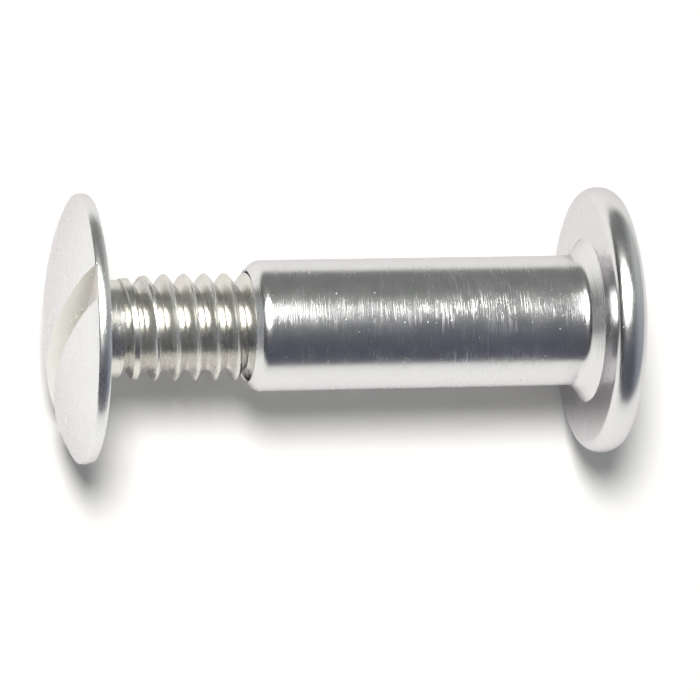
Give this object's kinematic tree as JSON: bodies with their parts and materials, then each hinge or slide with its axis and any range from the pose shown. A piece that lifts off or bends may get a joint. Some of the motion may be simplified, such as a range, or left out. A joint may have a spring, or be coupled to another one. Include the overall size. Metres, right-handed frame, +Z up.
{
  "type": "binding barrel screw",
  "caption": "Bright aluminium binding post: a plain domed barrel with a blind tapped bore, and a slotted domed screw that turns into it to clamp sheets between the heads.",
  "frame": {"origin": "on the resting surface, under the middle of the pair, where the plane below both heads' rims meets the upright plane halfway along", "axes": "+X along the axis from the slotted screw head to the plain barrel head, +Z up while the pair lies on its two heads, +Y sideways"},
  "size_m": [0.0232, 0.0104, 0.0104],
  "materials": {
    "barrel": "bright drawn aluminium with fine turning lines and small pits",
    "screw": "bright rolled aluminium"
  },
  "bodies": {
    "barrel": {"barrel": "barrel"},
    "screw": {"screw": "screw"}
  },
  "joints": [
    {"name": "screw_travel", "type": "slide", "parent": "barrel", "child": "screw", "axis": [1, 0, 0], "range_m": [-0.0017, 0.0061]}
  ]
}
